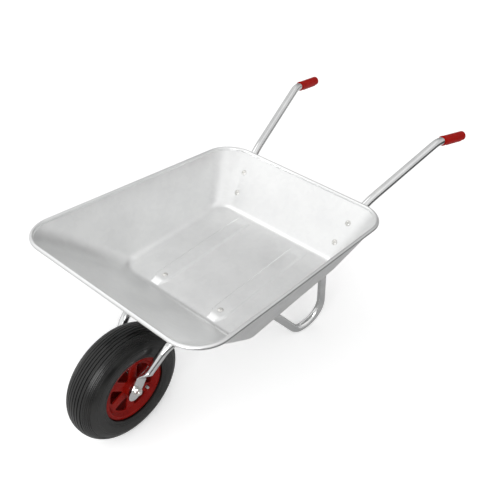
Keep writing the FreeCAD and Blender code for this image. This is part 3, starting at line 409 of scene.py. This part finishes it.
def wall_rows(ring, floor, rim):
    """For each spot of the ring, the points from the floor's edge up the wall and round the roll."""
    floor_line = Quad(0.0, FLOOR_LENGTH, FLOOR_HALF, FLOOR_HALF, FLOOR_CORNER)
    rim_line = Quad(0.0, RIM_LENGTH, RIM_REAR_HALF, RIM_FRONT_HALF, RIM_CORNER)
    top_line = Quad(
        WALL_TOP_INSET,
        RIM_LENGTH - WALL_TOP_INSET,
        RIM_REAR_HALF - WALL_TOP_INSET,
        RIM_FRONT_HALF - WALL_TOP_INSET,
        RIM_CORNER - WALL_TOP_INSET,
    )
    rows = []
    for spot in ring:
        place, out = floor_line.place(*spot)
        sharp = floor.point(*place)
        outwards = floor.turned(*out)
        top = rim.point(*top_line.place(*spot)[0], -WALL_TOP_DROP)
        rise = (top - sharp).normalized()
        roll_place, roll_out = rim_line.place(*spot)
        roll, roll_out = rim.point(*roll_place), rim.turned(*roll_out)
        top -= rise * touch_distance(top - roll, rise, ROLL_RADIUS)

        lean = math.atan2(rise.dot(floor.up), rise.dot(outwards))
        reach = FLOOR_BEND * math.tan(lean / 2)
        start, end = sharp - outwards * reach, sharp + rise * reach
        row = arc_points(start, sharp, end, math.cos(lean / 2), ARC_STEPS)

        facing = rise.cross(outwards.cross(floor.up)).normalized()
        for step in range(1, WALL_STEPS + 1):
            t = step / WALL_STEPS
            at = end + (top - end) * t
            sway = ripple(at, WALL_DENTS, WALL_DENT_HEIGHT) * math.sin(math.pi * t)
            row.append(at + facing * sway)

        first = math.atan2((top - roll).dot(rim.up), (top - roll).dot(roll_out))
        for step in range(1, ROLL_STEPS + 1):
            angle = first - step * ROLL_STEP_TURN
            row.append(roll + (roll_out * math.cos(angle) + rim.up * math.sin(angle)) * ROLL_RADIUS)
        rows.append(row)
    return rows


def floor_point(edge, sides, row, column):
    """Point of the flat floor, spread evenly between its four curved edges."""
    right, front, left, rear = sides
    u = (edge[right[row]] - edge[right[0]]).length / (edge[right[-1]] - edge[right[0]]).length
    v = (edge[front[column]] - edge[front[0]]).length / (edge[front[-1]] - edge[front[0]]).length
    point = edge[rear[column]] * (1 - u) + edge[front[column]] * u
    point += edge[right[row]] * (1 - v) + edge[left[row]] * v
    point -= edge[right[0]] * (1 - u) * (1 - v) + edge[right[-1]] * u * (1 - v)
    point -= edge[left[0]] * (1 - u) * v + edge[left[-1]] * u * v
    return point


def make_tray():
    """Pressed tray: floor grid, bend, leaning walls and rolled edge, all in one sheet."""
    floor, rim = Plane(FLOOR_REAR, FLOOR_TILT), Plane(RIM_REAR, RIM_TILT)
    ring, starts = tray_ring()
    rows = wall_rows(ring, floor, rim)
    count, depth = len(rows), len(rows[0])
    vertices = [point * MM for row in rows for point in row]
    faces = grid_faces(count, depth, wrap_rows=True)

    # the flat floor: a grid between the four sides of the bend's inner edge
    edge = [row[0] for row in rows]
    sides = []
    for first, last in zip(starts, starts[1:] + [count]):
        sides.append([number % count for number in range(first, last + 1)])
    right, front, left, rear = sides[0], sides[1], sides[2][::-1], sides[3][::-1]
    tall, wide = len(right), len(front)
    numbers = {}
    for row in range(tall):
        for column in range(wide):
            if column in (0, wide - 1):
                numbers[row, column] = (right if column == 0 else left)[row] * depth
            if row in (0, tall - 1):
                numbers[row, column] = (rear if row == 0 else front)[column] * depth
            if (row, column) in numbers:
                continue
            point = floor_point(edge, (right, front, left, rear), row, column)
            flat = point - floor.origin
            lift = rib_rise(flat.dot(floor.ahead), flat.dot(floor.left))
            calm = min(row, tall - 1 - row, column, wide - 1 - column) / CALM_ROWS
            lift += ripple(point, FLOOR_DENTS, FLOOR_DENT_HEIGHT) * smooth_step(calm)
            numbers[row, column] = len(vertices)
            vertices.append((point + floor.up * lift) * MM)
    for row in range(tall - 1):
        for column in range(wide - 1):
            corners = ((row, column), (row + 1, column), (row + 1, column + 1), (row, column + 1))
            faces.append(tuple(numbers[spot] for spot in corners))

    tray = piece("tray_sheet", "tray", "frame", vertices, faces, crease=50.0)
    floor_face = tray.data.polygons[-1]
    thick = tray.modifiers.new("sheet", "SOLIDIFY")
    thick.thickness = SHEET * MM
    thick.offset = -1.0 if floor_face.normal.z > 0 else 1.0


make_tray()


# ---------------------------------------------------------------- tyre

# millimetres; a radius is from the wheel's axis and a side is from the wheel's middle plane
TYRE_SECTION_RADIUS, TYRE_HEIGHT, TYRE_HALF_WIDTH, TYRE_SEAT = 122.5, 49.5, 54.0, 23.5
TYRE_ROUNDNESS = 0.9
TREAD_GROOVES, TREAD_PITCH, TREAD_HALF_GROOVE, TREAD_DEPTH = 7, 9.0, 1.3, 2.6
SHOULDER_LINES, SHOULDER_HALF_LINE, SHOULDER_DEPTH = (33.0, 37.0, 40.6, 43.8, 46.6), 0.85, 1.1
TREAD_START = 138.0
# the share of a groove's half width that its rounded edge takes
GROOVE_EDGE = 0.55
# lines round the side wall: radius, half width and depth
WALL_LINES = ((134.0, 1.6, 0.5), (129.5, 0.8, 0.45), (110.0, 1.1, 0.6), (105.5, 1.4, 0.5))
# the edge that sits in the rim, from outside to inside: radius and side
BEAD = [(99.2, 46.0), (99.2, 39.6), (91.3, 39.6), (91.3, 28.6), (98.0, 28.6)]
CAVITY_MIDDLE, CAVITY_RADIUS, CAVITY_MOUTH = 116.0, 46.0, 100.0
CAVITY_HALF_TURN = 0.68 * math.pi
AROUND, OUTER_STEPS, CAVITY_STEPS = 192, 420, 24
wheel_centre = middle("wheel_rim")


def lathe(outline):
    """Vertices and faces of a closed outline of (radius, side) turned about the wheel's axis."""
    vertices = []
    for turn in range(AROUND):
        angle = 2 * math.pi * turn / AROUND
        for radius, side in outline:
            vertices.append(Vector((radius * math.cos(angle), side, radius * math.sin(angle))))
    return vertices, grid_faces(AROUND, len(outline), True, True)


def both_sides(half):
    """Closed outline from its half, which starts and ends on the wheel's middle plane."""
    return half + [(radius, -side) for radius, side in reversed(half[1:-1])]


def wheel_piece(name, node, vertices, faces, crease):
    """Piece on the wheel from vertices in millimetres about the wheel's centre."""
    piece(name, node, "wheel", [wheel_centre + point * MM for point in vertices], faces, crease)


def dip(distance, half_width, depth):
    """Depth of a groove with rounded edges at a distance from its middle."""
    return depth * smooth_step((half_width - abs(distance)) / (half_width * GROOVE_EDGE))


def signed_power(value, power):
    return math.copysign(abs(value) ** power, value)


def tyre_outline():
    """Grooved outside, the two beads and the cavity between them."""
    lines = []
    for number in range(TREAD_GROOVES):
        at = (number - (TREAD_GROOVES - 1) / 2) * TREAD_PITCH
        lines.append((at, TREAD_HALF_GROOVE, TREAD_DEPTH))
    for side in (-1, 1):
        for at in SHOULDER_LINES:
            lines.append((side * at, SHOULDER_HALF_LINE, SHOULDER_DEPTH))

    outer = []
    lowest = -math.asin((TYRE_SEAT / TYRE_HEIGHT) ** (1 / TYRE_ROUNDNESS))
    for step in range(OUTER_STEPS + 1):
        angle = lowest + (math.pi - 2 * lowest) * step / OUTER_STEPS
        c, s = math.cos(angle), math.sin(angle)
        side = TYRE_HALF_WIDTH * signed_power(c, TYRE_ROUNDNESS)
        radius = TYRE_SECTION_RADIUS + TYRE_HEIGHT * signed_power(s, TYRE_ROUNDNESS)
        outward = Vector((signed_power(s, 2 - TYRE_ROUNDNESS), signed_power(c, 2 - TYRE_ROUNDNESS)))
        outward.normalize()
        if radius > TREAD_START:
            depth = sum(dip(side - at, half, deep) for at, half, deep in lines)
        else:
            depth = sum(dip(radius - at, half, deep) for at, half, deep in WALL_LINES)
        outer.append((radius - outward.x * depth, side - outward.y * depth))

    cavity = []
    for step in range(CAVITY_STEPS + 1):
        angle = math.pi / 2 + CAVITY_HALF_TURN * (1 - 2 * step / CAVITY_STEPS)
        radius = CAVITY_MIDDLE + CAVITY_RADIUS * math.sin(angle)
        if radius > CAVITY_MOUTH:
            cavity.append((radius, CAVITY_RADIUS * math.cos(angle)))
    cavity.sort(key=lambda point: -point[1])
    far_bead = [(radius, -side) for radius, side in reversed(BEAD)]
    return outer[::-1] + BEAD + cavity + far_bead


wheel_piece("tyre_tread", "tyre", *lathe(tyre_outline()), crease=35.0)


# ---------------------------------------------------------------- wheel rim

SPOKES, SPOKE_WIDTH, WINDOW_OUTER, WINDOW_CORNER, FIRST_WINDOW = 6, 27.0, 74.0, 5.0, 15.0
DISC_FACE, DISC_THICKNESS, DISC_EDGE = 35.0, 5.0, 0.9
DISC_OUTER, DISC_INNER = 76.9, 23.0
HUB_RADIUS, HUB_FOOT, HUB_BORE, HUB_HALF = 24.0, 26.5, 14.0, 46.0
VALVE_TURN, VALVE_RADIUS, VALVE_HOLE = math.radians(225.0), 66.0, 6.0
WINDOW_CORNER_STEPS, WINDOW_ARC_STEPS = 6, 8
DISC_OUTER_STEPS, DISC_INNER_STEPS, VALVE_HOLE_STEPS, EDGE_STEPS = 96, 48, 24, 2
# half of the barrel's outline: well, bead seat, flange, and back along the inside
BARREL_HALF = [
    (84.0, 0.0), (84.0, 19.0), (85.0, 20.9), (90.0, 27.0), (91.0, 29.0), (91.0, 39.2), (91.8, 40.0),
    (97.2, 40.0), (98.0, 40.8), (98.0, 42.6), (97.5, 43.6), (96.4, 44.0), (88.0, 44.0), (87.0, 43.7),
    (86.2, 43.0), (80.2, 36.2), (79.2, 35.3), (78.0, 35.0), (76.5, 34.6), (76.0, 33.6), (76.0, 30.8),
    (76.4, 30.2), (79.5, 30.0), (80.0, 29.5), (80.0, 0.0),
]
# half of the hub's outline: the foot on the disc, the tapered end and the bore
HUB_OUTLINE_HALF = [
    (HUB_RADIUS - 0.4, 0.0),
    (HUB_RADIUS - 0.4, 30.5),
    (HUB_FOOT, 34.8),
    (HUB_RADIUS + 0.6, 40.0),
    (HUB_RADIUS, HUB_HALF - 1.4),
    (HUB_RADIUS - 1.0, HUB_HALF),
    (HUB_BORE + 0.8, HUB_HALF),
    (HUB_BORE, HUB_HALF - 0.8),
    (HUB_BORE, 0.0),
]


def window_corners(turn):
    """Outline of one window, a slice between two spokes, and which of its points are sharp."""
    half_pitch = math.pi / SPOKES
    apex = SPOKE_WIDTH / (2 * math.sin(half_pitch))
    half_arc = half_pitch - math.asin(SPOKE_WIDTH / (2 * WINDOW_OUTER))
    points = [(apex, 0.0)]
    for step in range(WINDOW_ARC_STEPS + 1):
        angle = half_arc * (2 * step / WINDOW_ARC_STEPS - 1)
        points.append((WINDOW_OUTER * math.cos(angle), WINDOW_OUTER * math.sin(angle)))
    spin = Matrix.Rotation(turn, 2)
    return [spin @ Vector(point) for point in points], (0, 1, len(points) - 1)


def rounded(points, sharp, radius):
    """Closed outline with an arc at each of the numbered corners."""
    made = []
    for index, at in enumerate(points):
        if index not in sharp:
            made.append(at)
            continue
        back = (points[index - 1] - at).normalized()
        ahead = (points[(index + 1) % len(points)] - at).normalized()
        half = back.angle(ahead) / 2
        reach = radius / math.tan(half)
        start, end = at + back * reach, at + ahead * reach
        made += arc_points(start, at, end, math.sin(half), WINDOW_CORNER_STEPS)
    return made


def circle(radius, steps, centre=Vector((0, 0))):
    turns = [2 * math.pi * step / steps for step in range(steps)]
    return [centre + Vector((math.cos(turn), math.sin(turn))) * radius for turn in turns]


def plate(outlines, thickness, bevel):
    """Vertices and faces of a flat plate with holes and rounded edges, standing on z = 0."""
    curve = bpy.data.curves.new("plate", "CURVE")
    curve.dimensions = "2D"
    curve.fill_mode = "BOTH"
    curve.extrude = thickness / 2 - bevel
    curve.bevel_depth = bevel
    curve.bevel_resolution = EDGE_STEPS
    curve.offset = -bevel
    for points in outlines:
        spline = curve.splines.new("POLY")
        spline.points.add(len(points) - 1)
        spline.use_cyclic_u = True
        for target, point in zip(spline.points, points):
            target.co = (point.x, point.y, 0, 1)
    thing = bpy.data.objects.new("plate", curve)
    bpy.context.scene.collection.objects.link(thing)
    bpy.context.view_layer.update()
    mesh = bpy.data.meshes.new_from_object(thing.evaluated_get(bpy.context.evaluated_depsgraph_get()))
    vertices = [vertex.co.copy() for vertex in mesh.vertices]
    faces = [tuple(face.vertices) for face in mesh.polygons]
    bpy.data.objects.remove(thing)
    bpy.data.meshes.remove(mesh)
    return vertices, faces


def make_wheel_rim():
    """Barrel with rounded flanges, the hub and two spoked discs, one with the valve's hole."""
    vertices, faces = [], []

    def add(more_vertices, more_faces):
        start = len(vertices)
        vertices.extend(more_vertices)
        faces.extend(tuple(index + start for index in face) for face in more_faces)

    add(*lathe(both_sides(BARREL_HALF)))
    add(*lathe(both_sides(HUB_OUTLINE_HALF)))

    windows = []
    for number in range(SPOKES):
        points, sharp = window_corners(math.radians(FIRST_WINDOW + number * 360 / SPOKES))
        windows.append(rounded(points, sharp, WINDOW_CORNER))
    valve = Vector((math.cos(VALVE_TURN), math.sin(VALVE_TURN))) * VALVE_RADIUS
    for side in (1, -1):
        outlines = [circle(DISC_OUTER, DISC_OUTER_STEPS), circle(DISC_INNER, DISC_INNER_STEPS)] + windows
        if side > 0:
            outlines.append(circle(VALVE_HOLE, VALVE_HOLE_STEPS, valve))
        disc, disc_faces = plate(outlines, DISC_THICKNESS, DISC_EDGE)
        level = side * (DISC_FACE - DISC_THICKNESS / 2)
        add([Vector((point.x, level + point.z, point.y)) for point in disc], disc_faces)
    wheel_piece("rim_casting", "wheel_rim", vertices, faces, crease=30.0)


make_wheel_rim()


# ---------------------------------------------------------------- tray bolts

# millimetres, as in the CAD source
BOLT_HEAD_RADIUS, BOLT_HEAD, BOLT_HEAD_RISE, BOLT_RADIUS = 9.0, 4.2, 0.5, 4.0
HEAD_EDGE, HEAD_NECK, BOLT_CHAMFER = 0.3, 1.5, 0.8
RECESS_REACH, RECESS_HALF_WIDTH, RECESS_DEPTH = 4.2, 0.85, 1.7
RECESS_SLOPE, RECESS_LEAD = 0.5, 0.15
BOLT_STEPS, BOLT_RINGS = 96, 20
# radians: how far the first bolt's recess is turned, and each next one more
FIRST_RECESS_TURN, RECESS_TURN = 0.5, 0.9
# metres: CAD vertices this close are one, and a bolt's vertices this near its tip are the tip
SAME_PLACE, TIP_DEPTH = 0.00002, 0.0003


def islands(node):
    """The vertices of each separate solid of a CAD node, in the order of its mesh."""
    form = bmesh.new()
    form.from_mesh(frame["nodes"][node].data)
    bmesh.ops.remove_doubles(form, verts=form.verts, dist=SAME_PLACE)
    seen, found = set(), []
    for first in form.verts:
        if first in seen:
            continue
        seen.add(first)
        group, queue = [], [first]
        while queue:
            vertex = queue.pop()
            group.append(vertex.co.copy())
            for edge in vertex.link_edges:
                other = edge.other_vert(vertex)
                if other not in seen:
                    seen.add(other)
                    queue.append(other)
        found.append(group)
    form.free()
    return found


def box_of(points):
    low = Vector([min(point[axis] for point in points) for axis in range(3)])
    high = Vector([max(point[axis] for point in points) for axis in range(3)])
    return low, high


def head_height(x, y):
    """Height of the cup head above its underside, with the cross recess."""
    crown = BOLT_HEAD - BOLT_HEAD_RISE
    curve = (BOLT_HEAD_RADIUS ** 2 + crown ** 2) / (2 * crown)
    height = BOLT_HEAD - curve + math.sqrt(curve ** 2 - x ** 2 - y ** 2)
    arm = max(
        min(RECESS_HALF_WIDTH - abs(y), RECESS_REACH - abs(x)),
        min(RECESS_HALF_WIDTH - abs(x), RECESS_REACH - abs(y)),
    )
    return height - RECESS_DEPTH * smooth_step((arm + RECESS_LEAD) / RECESS_SLOPE)


def bolt_form(length):
    """Cup head with a cross recess on a plain shank, along z from the head's underside."""
    spots = circle(1.0, BOLT_STEPS)
    vertices = []
    for ring in range(1, BOLT_RINGS + 1):
        for spot in spots:
            x, y = spot * (BOLT_HEAD_RADIUS * ring / BOLT_RINGS)
            vertices.append(Vector((x, y, -head_height(x, y))))
    for radius, height in (
        (BOLT_HEAD_RADIUS, -HEAD_EDGE),
        (BOLT_RADIUS + HEAD_NECK, 0.0),
        (BOLT_RADIUS, 0.0),
        (BOLT_RADIUS, length - BOLT_CHAMFER),
        (BOLT_RADIUS - BOLT_CHAMFER, length),
    ):
        vertices += [Vector((*(spot * radius), height)) for spot in spots]
    rows = len(vertices) // BOLT_STEPS
    faces = grid_faces(rows, BOLT_STEPS, wrap_columns=True)
    top, last = len(vertices), (rows - 1) * BOLT_STEPS
    vertices.append(Vector((0, 0, RECESS_DEPTH - BOLT_HEAD)))
    vertices.append(Vector((0, 0, length)))
    for step in range(BOLT_STEPS):
        after = (step + 1) % BOLT_STEPS
        faces.append((top, step, after))
        faces.append((top + 1, last + after, last + step))
    return vertices, faces


def make_bolts():
    """One bolt for each of the CAD's: the rear wall's point out of the wall, the floor's down."""
    floor, rim = Plane(FLOOR_REAR, FLOOR_TILT), Plane(RIM_REAR, RIM_TILT)
    wall_top = rim.point(WALL_TOP_INSET, 0.0, -WALL_TOP_DROP)
    up_wall = (wall_top - FLOOR_REAR).normalized()
    out_of_wall = Vector((-up_wall.z, 0, up_wall.x))
    vertices, faces = [], []
    for number, points in enumerate(islands("tray_bolts")):
        low, high = box_of(points)
        on_wall = low.x + high.x < 0
        axis = out_of_wall if on_wall else -floor.up
        tip = max(point.dot(axis) for point in points)
        head = min(point.dot(axis) for point in points)
        end_low, end_high = box_of([point for point in points if point.dot(axis) > tip - TIP_DEPTH])
        end_middle = (end_low + end_high) / 2
        seat = end_middle - axis * (end_middle.dot(axis) - head - BOLT_HEAD * MM)
        recess_turn = Matrix.Rotation(FIRST_RECESS_TURN + RECESS_TURN * number, 3, "Z")
        turn = axis.to_track_quat("Z", "Y").to_matrix() @ recess_turn
        start = len(vertices)
        form, form_faces = bolt_form((tip - head) / MM - BOLT_HEAD)
        vertices += [seat + turn @ (point * MM) for point in form]
        faces += [tuple(index + start for index in face) for face in form_faces]
    piece("cup_head_bolts", "tray_bolts", "frame", vertices, faces, crease=30.0)


make_bolts()


# ---------------------------------------------------------------- stage

# metres, and the share of light that the floor throws back
FLOOR_HALF_SIZE, FLOOR_WHITE = 30.0, 0.93
FRONT_PANEL, LEFT_PANEL = (0.6, -0.45, 0.66), (-0.35, 0.8, 0.45)
# each part of the room's light: its direction, where it starts and ends (cosines), dim and bright
SKY_PARTS = (
    (FRONT_PANEL, -0.1, 0.3, 0.3, 0.72),
    (FRONT_PANEL, 0.6, 1.0, 0.0, 0.36),
    (LEFT_PANEL, 0.3, 0.95, 0.0, 0.42),
)


def make_floor():
    """White floor with faint shadows. Painted reflection: the metal mirrors it darker close by and on
    the left, because only glossy rays are given that darker grey.
    """
    look = Look("floor", (FLOOR_WHITE, FLOOR_WHITE, FLOOR_WHITE), 0.95)
    look.shader.inputs["Specular IOR Level"].default_value = 0.0
    look.shader.inputs["Emission Color"].default_value = (1, 1, 1, 1)
    far = look.nodes.new("ShaderNodeVectorMath")
    far.operation = "LENGTH"
    look.links.new(look.place, far.inputs[0])
    axes = look.nodes.new("ShaderNodeSeparateXYZ")
    look.links.new(look.place, axes.inputs["Vector"])
    # painted reflection: a grey that the floor shows only to glossy rays, darker close by and on the
    # left, so that the metal mirrors painted dark bands
    painted_reflection_near = look.span(far.outputs["Value"], low=0.58, high=0.88, first=0.6, last=2.6)
    painted_reflection_left = look.span(axes.outputs["Y"], low=1.0, high=0.12, first=0.42, last=0.8)
    painted_reflection_grey = look.combine("MULTIPLY", painted_reflection_near, painted_reflection_left)
    # glossy rays see the painted reflection grey; all other rays see the white floor
    path = look.nodes.new("ShaderNodeLightPath")
    shade = look.nodes.new("ShaderNodeMix")
    look.links.new(path.outputs["Is Glossy Ray"], shade.inputs["Factor"])
    shade.inputs["A"].default_value = FLOOR_WHITE
    look.links.new(painted_reflection_grey, shade.inputs["B"])
    look.links.new(shade.outputs["Result"], look.shader.inputs["Base Color"])
    glow = look.span(path.outputs["Is Camera Ray"], low=0.0, high=0.3, first=0.0, last=1.0)
    look.links.new(glow, look.shader.inputs["Emission Strength"])

    mesh = bpy.data.meshes.new("floor")
    half = FLOOR_HALF_SIZE
    corners = [(-half, -half, 0), (half, -half, 0), (half, half, 0), (-half, half, 0)]
    mesh.from_pydata(corners, [], [(0, 1, 2, 3)])
    mesh.materials.append(look.made)
    thing = bpy.data.objects.new("floor", mesh)
    bpy.context.scene.collection.objects.link(thing)


def area_light(name, place, target, size, power):
    data = bpy.data.lights.new(name, "AREA")
    data.shape = "DISK"
    data.size = size
    data.energy = power
    lamp = bpy.data.objects.new(name, data)
    lamp.location = place
    lamp.rotation_euler = (Vector(target) - Vector(place)).to_track_quat("-Z", "Y").to_euler()
    bpy.context.scene.collection.objects.link(lamp)


def sky(world):
    """White room with two large soft panels: one before the tray's rear wall, one on its left."""
    nodes, links = world.node_tree.nodes, world.node_tree.links
    direction = nodes.new("ShaderNodeTexCoord").outputs["Generated"]
    total = None
    for pole, low, high, dim, bright in SKY_PARTS:
        facing = nodes.new("ShaderNodeVectorMath")
        facing.operation = "DOT_PRODUCT"
        links.new(direction, facing.inputs[0])
        facing.inputs[1].default_value = Vector(pole).normalized()
        part = nodes.new("ShaderNodeMapRange")
        part.inputs["From Min"].default_value = low
        part.inputs["From Max"].default_value = high
        part.inputs["To Min"].default_value = dim
        part.inputs["To Max"].default_value = bright
        links.new(facing.outputs["Value"], part.inputs["Value"])
        if total is None:
            total = part.outputs["Result"]
        else:
            added = nodes.new("ShaderNodeMath")
            links.new(total, added.inputs[0])
            links.new(part.outputs["Result"], added.inputs[1])
            total = added.outputs[0]
    nodes["Background"].inputs["Color"].default_value = (1, 1, 1, 1)
    links.new(total, nodes["Background"].inputs["Strength"])


make_floor()
world = bpy.data.worlds.new("studio")
world.use_nodes = True
sky(world)
bpy.context.scene.world = world
area_light("key", place=(0.0, -1.7, 3.0), target=(0, 0, 0.3), size=1.7, power=5)
area_light("wheel_light", place=(1.34, 0.64, 0.89), target=middle("tyre"), size=0.7, power=6)

scene = bpy.context.scene
scene.view_settings.view_transform = "Standard"

# camera
AZIMUTH = math.radians(42.133)
ELEVATION = math.radians(41.706)
ROLL = math.radians(-1.847)
DISTANCE = 2.0866
TARGET = Vector((0.00803, 0.0, 0.28637))
LENS = 49.32

data = bpy.data.cameras.new("camera")
data.lens = LENS
data.sensor_width = 36.0
camera = bpy.data.objects.new("camera", data)
back = Vector((
    math.cos(ELEVATION) * math.cos(AZIMUTH),
    math.cos(ELEVATION) * math.sin(AZIMUTH),
    math.sin(ELEVATION),
))
camera.location = TARGET + back * DISTANCE
turn = back.to_track_quat("Z", "Y").to_matrix().to_4x4() @ Matrix.Rotation(ROLL, 4, "Z")
camera.rotation_euler = turn.to_euler()
scene.collection.objects.link(camera)
scene.camera = camera
